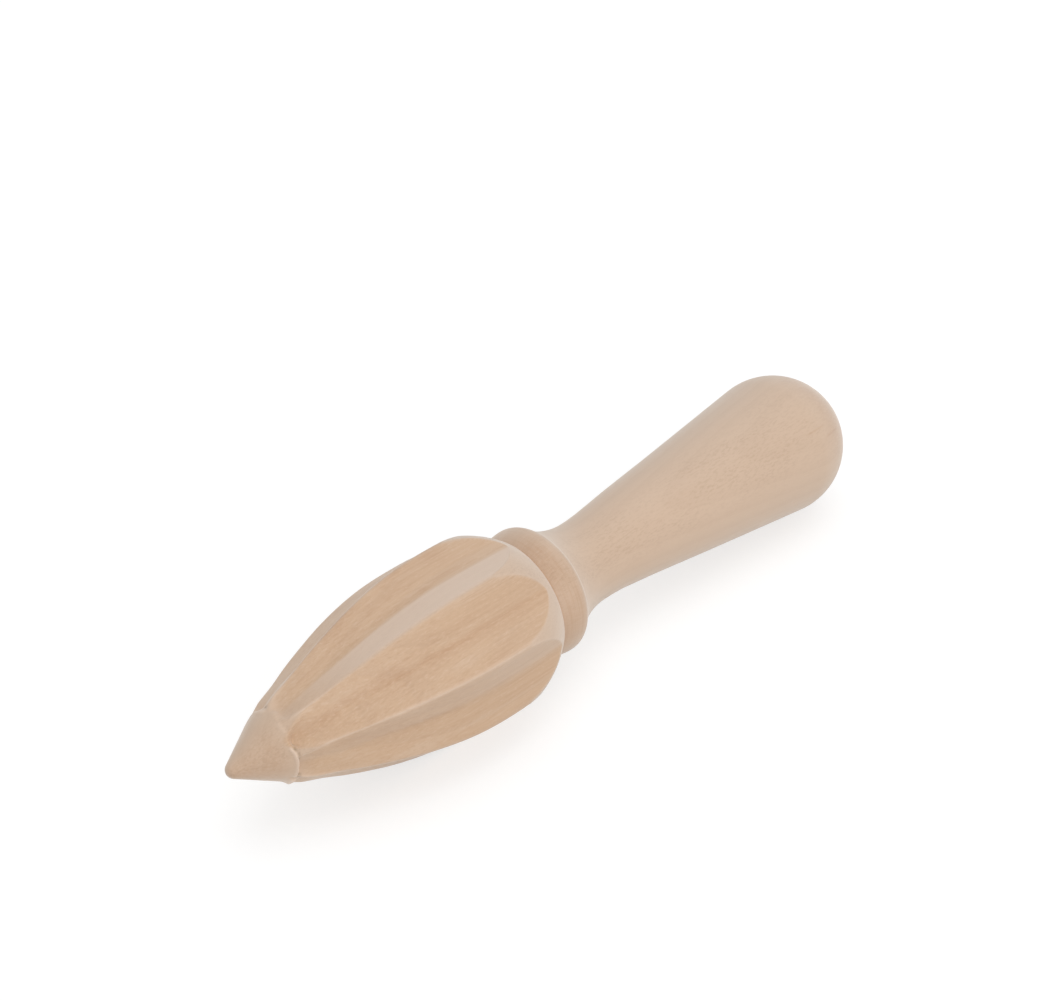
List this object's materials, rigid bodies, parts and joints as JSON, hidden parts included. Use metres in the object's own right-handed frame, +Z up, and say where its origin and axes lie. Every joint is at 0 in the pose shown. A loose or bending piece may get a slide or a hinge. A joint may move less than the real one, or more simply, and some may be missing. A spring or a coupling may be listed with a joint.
{
  "type": "citrus reamer",
  "caption": "One-piece turned wooden citrus reamer: pointed fluted head, grooved collar, narrow neck and a round-ended grip, lying on its side.",
  "frame": {"origin": "centre of the outer box, on the surface the tool lies on", "axes": "+X from the tip to the grip's end, +Z up; two crests of the head and the grip's round end touch z = 0"},
  "size_m": [0.166, 0.0352, 0.0353],
  "materials": {
    "beech": "satin"
  },
  "bodies": {
    "root": {"reamer": "beech"}
  },
  "joints": []
}
